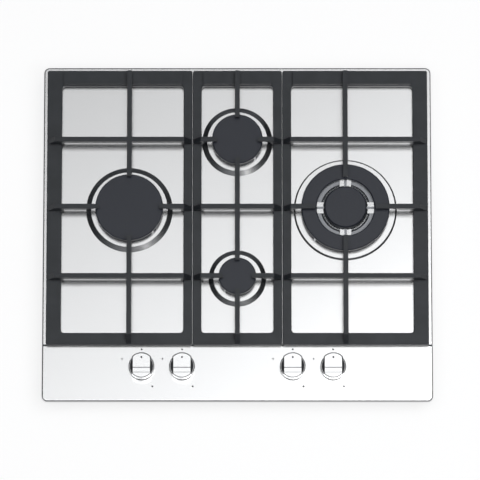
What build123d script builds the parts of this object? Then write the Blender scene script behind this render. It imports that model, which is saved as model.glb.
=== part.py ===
"""Built-in gas cooktop, 60 cm class: four burners, three cast pan supports, four knobs.

Frame: +X right, +Y rear, +Z up, millimetres. The origin is the centre of the underside of the burner
tray. The cooktop hangs in a worktop cut-out by its rim.
"""
from build123d import *
from math import atan, cos, radians, sin
import os

os.makedirs("parts", exist_ok=True)

# ---- overall ----
panel_w = 580.0  # over the rim, left to right
panel_d = 510.0  # over the rim, front to rear
panel_corner = 8.5  # plan radius of the rim
panel_edge = 2.2  # rolled top edge of the rim
sheet = 1.0  # stainless panel
rim_cover = 10.0  # rim past the worktop cut-out
below_worktop = 44.0  # from the worktop's surface down to the tray's underside
seal_t = 2.0
rim_drop = 6.0  # deck surface over the rim's foot
strip_d = 83.0  # depth of the control strip at the front
strip_rise = 1.2  # control strip over the deck
strip_slope = 3.0  # length of the joggle between the two
seat_gap = 0.1  # under every piece that simply stands in its place
running = 0.05  # radial clearance of shafts and screws
loose = 0.3  # radial clearance of located castings
hole_play = 0.5  # radial clearance of the panel's holes
past = 1.0  # how far a cut runs past the face it opens

cutout_w = panel_w - 2 * rim_cover
cutout_d = panel_d - 2 * rim_cover
rim_foot_z = below_worktop + seal_t
deck_z = rim_foot_z + rim_drop
strip_z = deck_z + strip_rise
crease_y = strip_d - panel_d / 2

# ---- burner tray ----
tray_gap = 5.0  # between the tray's walls and the cut-out
tray_t = 0.8
tray_corner = 6.0
tray_flange = 11.0
notch_w = 60.0  # rear right corner left open for the gas connection
notch_d = 55.0
tray_w = cutout_w - 2 * tray_gap
tray_d = cutout_d - 2 * tray_gap
tray_top = deck_z - sheet
vent_l = 30.0
vent_w = 3.0
vent_count = 7
vent_pitch = 52.0
vent_row = 16.0

# ---- weld studs and nuts ----
stud_r = 2.0
stud_l = 8.0
nut_r = 4.0  # across corners
nut_h = 3.2
side_stud_share = (-0.25, 0.0625, 0.34375)  # of the tray's depth, from its middle
rear_stud_x = 110.0

# ---- burners ----
burner_in = 129.0  # side burners from the panel's side
burner_rear_in = 115.0
burner_front_in = 186.0
side_x = panel_w / 2 - burner_in
rear_y = panel_d / 2 - burner_rear_in
front_y = burner_front_in - panel_d / 2
side_y = (rear_y + front_y) / 2
rapid = dict(x=-side_x, y=side_y, cap=50.3, crown=46.0, collar=32.0, screw=37.2, foot=64.5, rise=57.0, ports=40)
semi = dict(x=0.0, y=rear_y, cap=37.8, crown=33.8, collar=21.5, screw=25.8, foot=52.5, rise=45.0, ports=30)
small = dict(x=0.0, y=front_y, cap=27.8, crown=24.0, collar=13.0, screw=16.9, foot=42.8, rise=35.7, ports=22)
wok = dict(x=side_x, y=side_y, cap=65.8, crown=61.6, collar=40.0, screw=51.5, foot=76.9, rise=74.4, ports=56)
burners = dict(left=rapid, rear=semi, front=small, right=wok)

plateau_h = 3.5  # pressed step round each burner
plateau_z = deck_z + plateau_h
cup_hang = 12.0  # bowl floor under the deck
cup_wall = 3.0
cup_flange = 3.0
flange_past = 6.2  # cup flange past the crown, carries igniter and thermocouple
collar_rise = 2.5
boss_r = 9.0
socket_r = 7.0
socket_reach = 22.0
tube_z = 28.0
crown_wall = 3.6
crown_h = 12.0
crown_web = 2.0
throat_in = 5.5
throat_out = 8.0
port_w = 1.8
port_h = 4.2
cap_t = 5.0
cap_bevel = 1.3
cap_ring_w = 1.5
cap_ring_h = 2.2
probe_off = 2.25  # igniter and thermocouple axes, past the crown
cap_seat_z = plateau_z + seat_gap + crown_h
jet_r = 3.5
jet_l = 6.0
jet_hex = 5.2  # across corners, half
jet_head = 4.0
jet_bore = 0.6
cup_top = plateau_z - sheet
flange_z = cup_top - cup_flange
bowl_z = deck_z - cup_hang

# wok burner's inner parts
wok_cap_in = 42.8  # hole in the ring cap
wok_ring_in = 44.0  # inner wall of the crown's outer channel
wok_core = 30.4  # inner crown
wok_core_foot = 37.0
wok_core_bore = 26.4
wok_core_rise = 2.5  # inner cap seat over the outer one
wok_cap2 = 31.0
bridge_w = 17.0
bridge_groove = 3.6
wok_core_slots = 48
wok_top = cap_seat_z + wok_core_rise
wok_core_slot_w = 0.9
wok_cone_lip = 1.0  # inner crown flares out past its cap

# ---- screws, all M4 pan head ----
screw_r = 2.0
screw_head_r = 3.3
screw_head_h = 2.2
screw_l = 7.0
screw_round = 0.6
recess_w = 0.8  # cross recess
recess_deep = 1.2

# ---- gas train ----
knob_pitch = 60.0
knob_pair = 112.0  # middle of each pair, from the centre line
knob_in = 51.0  # knob axes from the panel's front edge
knob_y = knob_in - panel_d / 2
pipe_r = 7.0
pipe_wall = 1.5
pipe_y = knob_y - 18.0
pipe_z = 26.0
pipe_past = 23.0  # closed end past the last valve's axis
inlet_in_x = 55.0  # gas inlet from the panel's side and rear edges
inlet_in_y = 43.0
pipe_left = -knob_pair - knob_pitch / 2 - pipe_past
inlet_x = panel_w / 2 - inlet_in_x
inlet_y = panel_d / 2 - inlet_in_y
pipe_bend = 24.0
valve_w = 24.0
valve_rear = knob_y + 18.0
valve_foot = 10.0
valve_top = 42.0
bonnet_r = 10.0
bonnet_h = 5.5
cover_t = 1.2
washer_r = 7.0
washer_t = 1.2
stem_r = 3.0
stem_flat = 2.0
stem_foot = 22.0
push = 3.5
magnet_r = 3.5
magnet_l = 12.0
magnet_z = 15.6
outlet_l = 6.0
tube_r = 4.0
tube_wall = 1.0
tube_nut_r = 7.6
tube_nut_l = 10.0
bend_r = 22.0
# where each tube turns aside and back, from its start at the valve
tube_turns = dict(left=(60.0, 120.0), front=(24.0, 65.0), rear=(200.0, 260.0), right=(60.0, 120.0))
probe_turns = dict(left=(84.0, 124.0), right=(64.0, 114.0), front=(24.0, 62.0), rear=(204.0, 244.0))
strap_w = 14.0
strap_t = 1.6
strap_in = 0.5  # shorter than the valve at each end
thread_r = 10.4775  # G 1/2 pipe thread, outside
thread_l = 12.0
thread_foot = 2.0  # thread's end over the tray's underside
elbow_r = 10.5
elbow_drop_r = 12.0
collar_hex = 15.0
collar_t = 3.0

# ---- knobs ----
knob_r = 19.0
knob_gap = 5.0  # under the knob
knob_h = 14.0
knob_grip = 28.0  # width over the two flats
knob_shoulder = 5.5
knob_skin = 2.2
hub_r = 6.0
hub_depth = 10.5
knob_round = 1.4
knob_hole = 5.5
seal_r = 10.0
seal_lip = 1.0

# ---- pan supports ----
grate_front = crease_y
grate_rear = panel_d / 2 - 8.3
grate_gap = 0.8
middle_w = 133.0
outer_edge = panel_w / 2 - 6.0
rail_side = 22.0
rail_inner = 13.0
rail_rear = 23.0
rail_front = 17.8
rail_lift = 3.0  # rubber feet
rail_h = 11.0
grate_corner = 3.0
window_corner = 5.5
bar_w = 7.0
bar_deep = 10.0
bar_top_z = deck_z + 32.0
bar_slope = 12.0  # the bar ends lean in by this
bar_slope_rear = 4.0
bar_y = (rear_y - 3.0, side_y - 1.0, front_y - 2.0)
saddle_rise = 6.0  # raised middle of the rear rail
saddle_in = 2.5
finger_outer = 45.0  # clear radius over the side burners
finger_rear = 31.0
finger_front = 22.0
bar_fillet = 1.5  # where the bars cross
frame_edge = 1.0
pad_r = 5.0
tip_deep = 4.0  # the fingers thin out over the burners
tip_clear = 3.0  # thin from this far past the cap
tip_run = 11.0

# ---- electrics ----
igniter_r = 1.9
igniter_collar = 3.6
pin_r = 0.75
probe_r = 1.75
igniter_rise = 8.4  # porcelain above the cup
pin_below = 1.5  # spark pin's end under the cap
probe_below = 2.0
lead_r = 1.5
capillary_r = 1.0
lead_z = 8.0
lead_bend = 7.0
generator = (70.0, 32.0, 24.0)
generator_round = 2.0
generator_in = 60.0  # its middle from the tray's left and rear walls
generator_at = (generator_in - tray_w / 2, tray_d / 2 - generator_in)
terminal = (40.0, 20.0)
gland_r = 6.0
gland_stop = 8.0  # wall left behind the mains entry
row_step = 6.0  # between the leads leaving the generator
detour_x = 70.0  # the front lead passes left of the rear burner
detour_y = 30.0
switch_w = 12.0
switch_d = 7.5
switch_h = 6.0

# ---- worktop clamps ----
clamp_in = 90.0  # from the tray's front and rear walls
clamp_w = 16.0
clamp_t = 1.5
clamp_leg = 26.0
clamp_foot = 12.0
clamp_reach = 12.0
clamp_y = (clamp_in - tray_d / 2, tray_d / 2 - clamp_in)
clamp_screw_z = clamp_leg / 2 + clamp_foot


def write(piece, name):
    """Labels a finished piece and writes it to its own file."""
    piece.part.label = name
    export_step(piece.part, f"parts/{name}.step")


def ring(outer, inner, low, high, x=0.0, y=0.0, mode=Mode.ADD):
    """A plain ring standing on z = low."""
    with BuildSketch(Plane.XY.offset(low)) as plan:
        with Locations((x, y)):
            Circle(outer)
            if inner > 0:
                Circle(inner, mode=Mode.SUBTRACT)
    extrude(plan.sketch, amount=high - low, mode=mode)


def block(x0, x1, y0, y1, z0, z1, mode=Mode.ADD):
    """A rectangular block between two corners."""
    with Locations(((x0 + x1) / 2, (y0 + y1) / 2, (z0 + z1) / 2)):
        Box(x1 - x0, y1 - y0, z1 - z0, mode=mode)


def around(b, radius, angle):
    """A point on a circle round a burner."""
    return b["x"] + radius * cos(radians(angle)), b["y"] + radius * sin(radians(angle))


def screw_points(b):
    return [around(b, b["screw"], a) for a in (0, 120, 240)]


def igniter_point(b):
    return around(b, b["crown"] + probe_off, 135)


def probe_point(b):
    return around(b, b["crown"] + probe_off, -45 if b is rapid or b is semi else -135)


valve_x = dict(
    left=-knob_pair - knob_pitch / 2,
    front=-knob_pair + knob_pitch / 2,
    rear=knob_pair - knob_pitch / 2,
    right=knob_pair + knob_pitch / 2,
)

# ---- top panel ----
def panel_skin(inset, low):
    """The panel's outer form, drawn in by a wall thickness, from z = low up."""
    top = strip_z - inset
    drop = deck_z - inset
    with BuildPart() as skin:
        with BuildSketch(Plane.XY.offset(low)):
            RectangleRounded(panel_w - 2 * inset, panel_d - 2 * inset, panel_corner - inset)
        extrude(amount=top - low)
        with BuildSketch(Plane.YZ.offset(-panel_w)):
            with BuildLine():
                Polyline(
                    (crease_y, top),
                    (crease_y + strip_slope, drop),
                    (panel_d, drop),
                    (panel_d, top + past),
                    (crease_y, top + past),
                    close=True,
                )
            make_face()
        extrude(amount=2 * panel_w, mode=Mode.SUBTRACT)
        rims = skin.edges().filter_by(lambda e: e.center().Z > drop - 0.01)
        rims = [e for e in rims if on_rim(e, inset)]
        fillet(rims, panel_edge - inset)
    return skin.part


def on_rim(edge, inset):
    """True for an edge of the top face that lies along the panel's outline."""
    c = edge.center()
    side = panel_w / 2 - inset - abs(c.X)
    end = panel_d / 2 - inset - abs(c.Y)
    corner = edge.geom_type == GeomType.CIRCLE
    return min(side, end) < 0.01 or corner


def burner_step(b):
    """The pressed step round a burner: outside and inside cones."""
    width = b["foot"] - b["rise"]
    bend = sheet * (1 / cos(atan(plateau_h / width)) - 1) * width / plateau_h
    return (b["foot"], b["rise"]), (b["foot"] - bend, b["rise"] - bend)


with BuildPart() as top_panel:
    add(panel_skin(0.0, rim_foot_z))
    add(panel_skin(sheet, rim_foot_z + sheet), mode=Mode.SUBTRACT)
    block(-cutout_w / 2, cutout_w / 2, -cutout_d / 2, cutout_d / 2, rim_foot_z, rim_foot_z + sheet, Mode.SUBTRACT)
    for b in burners.values():
        outside, inside = burner_step(b)
        with Locations((b["x"], b["y"], deck_z + plateau_h / 2)):
            Cone(outside[0], outside[1], plateau_h)
        with Locations((b["x"], b["y"], deck_z - sheet + plateau_h / 2)):
            Cone(inside[0], inside[1], plateau_h, mode=Mode.SUBTRACT)
    for b in burners.values():
        holes = [(b["x"], b["y"], b["collar"] + hole_play)]
        holes += [(x, y, screw_r + loose) for x, y in screw_points(b)]
        holes += [(*igniter_point(b), igniter_r + hole_play), (*probe_point(b), probe_r + hole_play)]
        for x, y, r in holes:
            ring(r, 0, deck_z - 2 * sheet, plateau_z + sheet, x, y, Mode.SUBTRACT)
    for x in valve_x.values():
        ring(knob_hole, 0, deck_z - sheet, strip_z + sheet, x, knob_y, Mode.SUBTRACT)
    stud_points = [(s * (tray_w / 2 - tray_flange / 2), share * tray_d) for s in (-1, 1) for share in side_stud_share]
    stud_points += [(x, tray_d / 2 - tray_flange / 2) for x in (-rear_stud_x, rear_stud_x)]
    for x, y in stud_points:
        ring(stud_r, 0, tray_top - stud_l, tray_top, x, y)
write(top_panel, "top_panel")

# ---- rim seal, a flat foam frame ----
with BuildPart() as rim_seal:
    with BuildSketch(Plane.XY.offset(below_worktop)):
        RectangleRounded(panel_w - 2 * sheet, panel_d - 2 * sheet, panel_corner - sheet)
        Rectangle(cutout_w + sheet, cutout_d + sheet, mode=Mode.SUBTRACT)
    extrude(amount=seal_t)
write(rim_seal, "rim_seal")


# ---- burner tray: an open box with one corner left out and a flange all round ----
def tray_outline(inset):
    """The tray's plan, drawn in from its outside."""
    left, right = -tray_w / 2 + inset, tray_w / 2 - inset
    front, rear = -tray_d / 2 + inset, tray_d / 2 - inset
    corner_x, corner_y = right - notch_w, rear - notch_d
    with BuildSketch(Plane.XY) as plan:
        with BuildLine():
            Polyline(
                (left, front),
                (right, front),
                (right, corner_y),
                (corner_x, corner_y),
                (corner_x, rear),
                (left, rear),
                close=True,
            )
        make_face()
        outer = [v for v in plan.vertices() if abs(v.X - corner_x) > past or abs(v.Y - corner_y) > past]
        fillet(outer, tray_corner - min(inset, tray_corner / 2))
    return plan.sketch


with BuildPart() as burner_tray:
    with BuildSketch(Plane.XY):
        add(tray_outline(0.0))
    extrude(amount=tray_top)
    with BuildSketch(Plane.XY.offset(tray_t)):
        add(tray_outline(tray_t))
    extrude(amount=tray_top - 2 * tray_t, mode=Mode.SUBTRACT)
    with BuildSketch(Plane.XY.offset(tray_top - tray_t)):
        add(tray_outline(tray_flange))
    extrude(amount=tray_t, mode=Mode.SUBTRACT)
    for x, y in stud_points:
        ring(stud_r + loose, 0, tray_top - 2 * tray_t, tray_top + tray_t, x, y, Mode.SUBTRACT)
    for y in (valve_rear + 2 * vent_row, valve_rear + 3 * vent_row):
        with BuildSketch(Plane.XY):
            with Locations((0, y)):
                with GridLocations(vent_pitch, 0, vent_count, 1):
                    SlotOverall(vent_l, vent_w)
        extrude(amount=tray_t, mode=Mode.SUBTRACT)
    # the manifold's way out into the open corner
    with BuildSketch(Plane.XZ.offset(-(tray_d / 2 - notch_d - 2 * tray_t))):
        with Locations((inlet_x, pipe_z)):
            Circle(pipe_r + loose)
    extrude(amount=-4 * tray_t, mode=Mode.SUBTRACT)
    # the mains entry in the rear wall
    with BuildSketch(Plane.XZ.offset(-(tray_d / 2 - 2 * tray_t))):
        with Locations((generator_at[0], generator[2] / 2)):
            Circle(gland_r)
    extrude(amount=-4 * tray_t, mode=Mode.SUBTRACT)
    # clamp screw holes in the side walls
    for y in clamp_y:
        with BuildSketch(Plane.YZ.offset(-tray_w)):
            with Locations((y, clamp_screw_z)):
                Circle(screw_r + running)
        extrude(amount=2 * tray_w, mode=Mode.SUBTRACT)
write(burner_tray, "burner_tray")


# ---- burners ----
def make_cup(b):
    """Die-cast cup under the panel: flange, bowl, collar and jet holder with its side inlet."""
    x, y = b["x"], b["y"]
    with BuildPart() as cup:
        ring(b["crown"] + flange_past, 0, flange_z, cup_top, x, y)
        ring(b["collar"], 0, bowl_z, plateau_z + collar_rise, x, y)
        ring(b["collar"] - cup_wall, 0, bowl_z + cup_wall, plateau_z + 2 * collar_rise, x, y, Mode.SUBTRACT)
        ring(boss_r, 0, tube_z - boss_r, bowl_z + cup_wall, x, y)
        with BuildSketch(Plane.XZ.offset(-y)) as inlet:
            with Locations((x, tube_z)):
                Circle(socket_r)
        extrude(inlet.sketch, amount=socket_reach)
        with BuildSketch(Plane.XZ.offset(-y)) as gas_way:
            with Locations((x, tube_z)):
                Circle(tube_r - tube_wall)
        extrude(gas_way.sketch, amount=socket_reach, mode=Mode.SUBTRACT)
        ring(jet_r + running, 0, tube_z, bowl_z + 2 * cup_wall, x, y, Mode.SUBTRACT)
        for sx, sy in screw_points(b):
            ring(screw_r + running, 0, flange_z, cup_top, sx, sy, Mode.SUBTRACT)
        for (hx, hy), r in ((igniter_point(b), igniter_r), (probe_point(b), probe_r)):
            ring(r + running, 0, flange_z - past, cup_top + past, hx, hy, Mode.SUBTRACT)
    return cup


def jet_solid(x, y):
    """A brass jet screwed into the jet holder: threaded shank, hexagon, fine hole."""
    with BuildPart() as jet:
        ring(jet_r, 0, bowl_z + cup_wall - jet_l, bowl_z + cup_wall, x, y)
        with BuildSketch(Plane.XY.offset(bowl_z + cup_wall)):
            with Locations((x, y)):
                RegularPolygon(jet_hex, 6)
        extrude(amount=jet_head)
        ring(jet_bore, 0, bowl_z - jet_l, bowl_z + 2 * jet_l, x, y, Mode.SUBTRACT)
    return jet.part


def slots(b, radius, depth, width, low, high, count, first=0.0):
    """Radial slots through a round wall, all alike."""
    with Locations((b["x"], b["y"], (low + high) / 2)):
        with PolarLocations(radius + depth / 2, count, start_angle=first):
            Box(depth, width, high - low, mode=Mode.SUBTRACT)


def make_crown(b):
    """Flame spreader: outer wall with ports, web, throat over the jet and a skirt in the cup's collar."""
    x, y = b["x"], b["y"]
    foot = plateau_z + seat_gap
    web = foot + crown_h / 2
    with BuildPart() as crown:
        ring(b["crown"], b["crown"] - crown_wall, foot, cap_seat_z, x, y)
        ring(b["crown"] - crown_wall / 2, 0, web, web + crown_web, x, y)
        ring(throat_out, 0, bowl_z + cup_wall + jet_head + throat_out, web + 2 * crown_web, x, y)
        skirt_r = b["collar"] - cup_wall - loose
        ring(skirt_r, skirt_r - cap_ring_w, plateau_z - collar_rise, web, x, y)
        if b is wok:
            add_wok_core(x, y, web)
        ring(throat_in, 0, bowl_z, cap_seat_z + cap_t, x, y, Mode.SUBTRACT)
        slots(b, b["crown"] - crown_wall - past, crown_wall + 2 * past, port_w, cap_seat_z - port_h,
              cap_seat_z + past, b["ports"])
        if b is wok:
            slots(b, wok_core, wok_core_foot - wok_core + past, wok_core_slot_w, web + 2 * crown_web,
                  wok_top - crown_web, wok_core_slots, 360 / wok_core_slots / 2)
            add_bridges(web)
    return crown


def add_wok_core(x, y, web):
    """The inner crown, the channel's inner wall and the bridges that join them."""
    ring(wok_ring_in + crown_wall, wok_ring_in, web, cap_seat_z, x, y)
    with BuildSketch(Plane.XZ) as half:
        with BuildLine():
            Polyline(
                (wok_core_bore, web),
                (wok_core_foot, web),
                (wok_core_foot, web + crown_web),
                (wok_cap2 + wok_cone_lip, wok_top - crown_web / 2),
                (wok_core, wok_top),
                (wok_core_bore, wok_top),
                close=True,
            )
        make_face()
    turned = revolve(half.sketch, Axis.Z, mode=Mode.PRIVATE)
    add(Pos(x, y, 0) * turned)


def add_bridges(web):
    """Four grooved bridges from the inner crown to the outer channel."""
    top = cap_seat_z - seat_gap
    reach = wok_ring_in + crown_wall / 2 - wok_core + past
    with Locations((wok["x"], wok["y"], (web + top) / 2)):
        with PolarLocations(wok_core - past + reach / 2, 4):
            Box(reach, bridge_w, top - web)
    with Locations((wok["x"], wok["y"], top)):
        with PolarLocations(wok_core + reach / 2, 4):
            Box(reach, bridge_groove, bridge_groove, mode=Mode.SUBTRACT)


def make_cap(x, y, outer, inner, seat, wall_out, wall_in=0.0):
    """An enamelled lid with a bevelled edge and a ring that centres it in the crown."""
    with BuildPart() as cap:
        ring(outer, inner, seat, seat + cap_t, x, y)
        top = cap.edges().filter_by(GeomType.CIRCLE).group_by(Axis.Z)[-1]
        chamfer(top, cap_bevel)
        ring(wall_out - loose, wall_out - loose - cap_ring_w, seat - cap_ring_h, seat, x, y)
        if wall_in > 0:
            ring(wall_in + loose + cap_ring_w, wall_in + loose, seat - cap_ring_h, seat, x, y)
    return cap


seat = cap_seat_z + seat_gap
jets = []
for name, b in burners.items():
    cup = make_cup(b)
    write(cup, f"cup_{name}")
    crown = make_crown(b)
    write(crown, f"crown_{name}")
    jets.append(jet_solid(b["x"], b["y"]))
    if b is wok:
        cap = make_cap(b["x"], b["y"], b["cap"], wok_cap_in, seat, b["crown"] - crown_wall, wok_ring_in + crown_wall)
        write(cap, "cap_right_ring")
        cap = make_cap(b["x"], b["y"], wok_cap2, 0, wok_top + seat_gap, wok_core_bore)
        write(cap, "cap_right_middle")
    else:
        cap = make_cap(b["x"], b["y"], b["cap"], 0, seat, b["crown"] - crown_wall)
        write(cap, f"cap_{name}")

with BuildPart() as injectors:
    for jet in jets:
        add(jet)
write(injectors, "injectors")


# ---- gas train ----
def along_y(x, z, radius, y0, y1, mode=Mode.ADD):
    """A round bar parallel to Y."""
    with BuildSketch(Plane.XZ.offset(-y0)) as end:
        with Locations((x, z)):
            Circle(radius)
    extrude(end.sketch, amount=-(y1 - y0), mode=mode)


def along_x(y, z, radius, x0, x1, mode=Mode.ADD):
    """A round bar parallel to X."""
    with BuildSketch(Plane.YZ.offset(x0)) as end:
        with Locations((y, z)):
            Circle(radius)
    extrude(end.sketch, amount=x1 - x0, mode=mode)


def tube_along(points, bend, outer, inner=0.0):
    """A tube along straight runs joined by tangent arcs."""
    with BuildPart() as tube:
        with BuildLine() as route:
            FilletPolyline(*points, radius=bend)
        start = Plane(origin=route.line @ 0, z_dir=route.line % 0)
        with BuildSketch(start):
            Circle(outer)
            if inner > 0:
                Circle(inner, mode=Mode.SUBTRACT)
        sweep()
    return tube.part


with BuildPart() as manifold:
    add(tube_along(
        [(pipe_left, pipe_y, pipe_z), (inlet_x, pipe_y, pipe_z), (inlet_x, inlet_y - elbow_r, pipe_z)],
        pipe_bend, pipe_r, pipe_r - pipe_wall,
    ))
    along_x(pipe_y, pipe_z, pipe_r, pipe_left - pipe_wall, pipe_left)
    for x in valve_x.values():
        along_y(x, pipe_z, jet_r, pipe_y, pipe_y + 2 * pipe_r, Mode.SUBTRACT)
write(manifold, "manifold")

with BuildPart() as inlet_elbow:
    along_y(inlet_x, pipe_z, elbow_r, inlet_y - 2 * elbow_r, inlet_y)
    ring(elbow_drop_r, 0, thread_foot + thread_l + collar_t, pipe_z + elbow_drop_r, inlet_x, inlet_y)
    with BuildSketch(Plane.XY.offset(thread_foot + thread_l)):
        with Locations((inlet_x, inlet_y)):
            RegularPolygon(collar_hex, 6)
    extrude(amount=collar_t)
    ring(thread_r, 0, thread_foot, thread_foot + thread_l, inlet_x, inlet_y)
    along_y(inlet_x, pipe_z, pipe_r + running, inlet_y - 3 * elbow_r, inlet_y - elbow_r, Mode.SUBTRACT)
    along_y(inlet_x, pipe_z, pipe_r - pipe_wall, inlet_y - elbow_r, inlet_y, Mode.SUBTRACT)
    ring(pipe_r, 0, 0, pipe_z, inlet_x, inlet_y, Mode.SUBTRACT)
write(inlet_elbow, "inlet_elbow")

bonnet_z = valve_top + bonnet_h
washer_z = bonnet_z - washer_t - seat_gap
strap_screw_off = pipe_r + strap_t + screw_head_r + loose
strap_screw_z = (pipe_z - strap_screw_off, pipe_z + strap_screw_off)


def make_valve(x):
    """A gas valve clamped on the manifold: block, bonnet, gas outlet and safety magnet housing."""
    with BuildPart() as valve:
        block(x - valve_w / 2, x + valve_w / 2, pipe_y, valve_rear, valve_foot, valve_top)
        ring(bonnet_r, 0, valve_top, bonnet_z, x, knob_y)
        along_y(x, tube_z, socket_r, valve_rear, valve_rear + outlet_l)
        along_y(x, magnet_z, magnet_r, valve_rear, valve_rear + magnet_l)
        along_x(pipe_y, pipe_z, pipe_r, x - valve_w, x + valve_w, Mode.SUBTRACT)
        ring(washer_r + loose, 0, washer_z - push - past, bonnet_z, x, knob_y, Mode.SUBTRACT)
        ring(stem_r + running, 0, stem_foot - push - past, bonnet_z, x, knob_y, Mode.SUBTRACT)
        along_y(x, tube_z, tube_r - tube_wall, knob_y + stem_r, valve_rear + outlet_l, Mode.SUBTRACT)
        along_y(x, pipe_z, tube_r - tube_wall, pipe_y, knob_y - stem_r, Mode.SUBTRACT)
        for z in strap_screw_z:
            along_y(x, z, screw_r + running, pipe_y, pipe_y + screw_l, Mode.SUBTRACT)
    return valve


def strap_solid(x):
    """The half clip that holds a valve on the manifold."""
    with BuildPart() as strap:
        along_x(pipe_y, pipe_z, pipe_r + strap_t, x - strap_w / 2, x + strap_w / 2)
        block(x - strap_w / 2, x + strap_w / 2, pipe_y - strap_t, pipe_y, valve_foot + strap_in, valve_top - strap_in)
        along_x(pipe_y, pipe_z, pipe_r, x - strap_w, x + strap_w, Mode.SUBTRACT)
        block(x - strap_w, x + strap_w, pipe_y, pipe_y + 2 * pipe_r, 0, valve_top, Mode.SUBTRACT)
        for z in strap_screw_z:
            along_y(x, z, screw_r + running, pipe_y - 2 * strap_t, pipe_y, Mode.SUBTRACT)
    return strap.part


def screw_solid(plane):
    """An M4 pan-head screw: the head sits on the plane, the shank goes down through it."""
    with BuildPart() as screw:
        with BuildSketch(plane):
            Circle(screw_head_r)
        extrude(amount=screw_head_h)
        fillet(screw.edges().filter_by(GeomType.CIRCLE).sort_by(SortBy.DISTANCE)[-1:], screw_round)
        with BuildSketch(plane):
            Circle(screw_r)
        extrude(amount=-screw_l)
        with BuildSketch(plane.offset(screw_head_h)):
            Rectangle(screw_head_r, recess_w)
            Rectangle(recess_w, screw_head_r)
        extrude(amount=-recess_deep, mode=Mode.SUBTRACT)
    return screw.part


for name, x in valve_x.items():
    write(make_valve(x), f"valve_{name}")

with BuildPart() as manifold_straps:
    for x in valve_x.values():
        add(strap_solid(x))
write(manifold_straps, "manifold_straps")

with BuildPart() as valve_covers:
    for x in valve_x.values():
        ring(bonnet_r, stem_r + loose, bonnet_z, bonnet_z + cover_t, x, knob_y)
write(valve_covers, "valve_covers")

with BuildPart() as pan_head_screws:
    for b in burners.values():
        for x, y in screw_points(b):
            add(screw_solid(Plane((x, y, plateau_z))))
    for x in valve_x.values():
        for z in strap_screw_z:
            add(screw_solid(Plane((x, pipe_y - strap_t, z), z_dir=(0, -1, 0))))
    for y in clamp_y:
        for s in (-1, 1):
            add(screw_solid(Plane((s * (tray_w / 2 + clamp_t), y, clamp_screw_z), z_dir=(s, 0, 0))))
write(pan_head_screws, "pan_head_screws")


def gas_tube(points):
    """An aluminium tube with a union nut at each end."""
    tube = tube_along(points, bend_r, tube_r, tube_r - tube_wall)
    (x0, y0, z0), (x1, y1, z1) = points[0], points[-1]
    with BuildPart() as line:
        add(tube)
        for x, y, s in ((x0, y0, 1), (x1, y1, -1)):
            with BuildSketch(Plane((x, y, z0), x_dir=(1, 0, 0), z_dir=(0, s, 0))):
                RegularPolygon(tube_nut_r, 6)
                Circle(tube_r - tube_wall, mode=Mode.SUBTRACT)
            extrude(amount=tube_nut_l)
    return line


tube_start = valve_rear + outlet_l
end_y = {name: b["y"] - socket_reach for name, b in burners.items()}
for name, b in burners.items():
    x = valve_x[name]
    turn_in, turn_out = tube_turns[name]
    route = [(x, tube_start), (x, tube_start + turn_in), (b["x"], tube_start + turn_out), (b["x"], end_y[name])]
    write(gas_tube([(px, py, tube_z) for px, py in route]), f"gas_tube_{name}")


# ---- knobs and spindles ----
knob_z = strip_z + knob_gap
for name, x in valve_x.items():
    with BuildPart() as stem:
        ring(stem_r, 0, stem_foot, knob_z + hub_depth, x, knob_y)
        block(x - stem_r, x + stem_r, knob_y + stem_flat, knob_y + stem_r, knob_z, knob_z + hub_depth, Mode.SUBTRACT)
    write(stem, f"stem_{name}")

    with BuildPart() as washer:
        ring(washer_r, stem_r + running / 2, washer_z, washer_z + washer_t, x, knob_y)
    write(washer, f"thrust_washer_{name}")

    with BuildPart() as knob:
        ring(knob_r, 0, knob_z, knob_z + knob_h, x, knob_y)
        rims = knob.edges().filter_by(GeomType.CIRCLE)
        fillet(rims.group_by(Axis.Z)[-1], knob_round)
        for s in (-1, 1):
            inner, outer = x + s * knob_grip / 2, x + s * (knob_r + past)
            block(min(inner, outer), max(inner, outer), knob_y - knob_r, knob_y + knob_r,
                  knob_z + knob_shoulder, knob_z + knob_h, Mode.SUBTRACT)
        ring(knob_r - knob_skin, hub_r, knob_z, knob_z + knob_shoulder - knob_skin, x, knob_y, Mode.SUBTRACT)
        with BuildSketch(Plane.XY.offset(knob_z)):
            with Locations((x, knob_y)):
                Circle(stem_r + running)
            with Locations((x, knob_y + stem_flat + running + stem_r)):
                Rectangle(4 * stem_r, 2 * stem_r, mode=Mode.SUBTRACT)
        extrude(amount=hub_depth + running, mode=Mode.SUBTRACT)
    write(knob, f"knob_{name}")

with BuildPart() as knob_seals:
    for x in valve_x.values():
        ring(seal_r, stem_r + loose, strip_z, strip_z + seal_lip, x, knob_y)
        ring(knob_hole - running, stem_r + loose, strip_z - sheet, strip_z, x, knob_y)
write(knob_seals, "knob_seals")


# ---- pan supports ----
def grate_plan(x0, x1, inset=0.0, rear_inset=0.0):
    """The support's outline, drawn in at the front and sides and at the rear."""
    front, rear = grate_front + inset, grate_rear - rear_inset
    with BuildSketch(Plane.XY) as plan:
        with Locations(((x0 + x1) / 2, (front + rear) / 2)):
            RectangleRounded(x1 - x0 - 2 * inset, rear - front, grate_corner)
    return plan.sketch


def bar_plan(x0, x1, centre, under):
    """The bars in plan: three across, one along, left open over each burner."""
    with BuildSketch(Plane.XY) as plan:
        for y in bar_y:
            with Locations(((x0 + x1) / 2, y)):
                Rectangle(x1 - x0, bar_w)
        with Locations((centre, (grate_front + grate_rear) / 2)):
            Rectangle(bar_w, grate_rear - grate_front)
        corners = [v for v in plan.vertices() if abs(abs(v.X - centre) - bar_w / 2) < 0.01
                   and min(abs(abs(v.Y - y) - bar_w / 2) for y in bar_y) < 0.01]
        fillet(corners, bar_fillet)
        for b, clear in under:
            with Locations((b["x"], b["y"])):
                Circle(clear, mode=Mode.SUBTRACT)
    return plan.sketch


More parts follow.
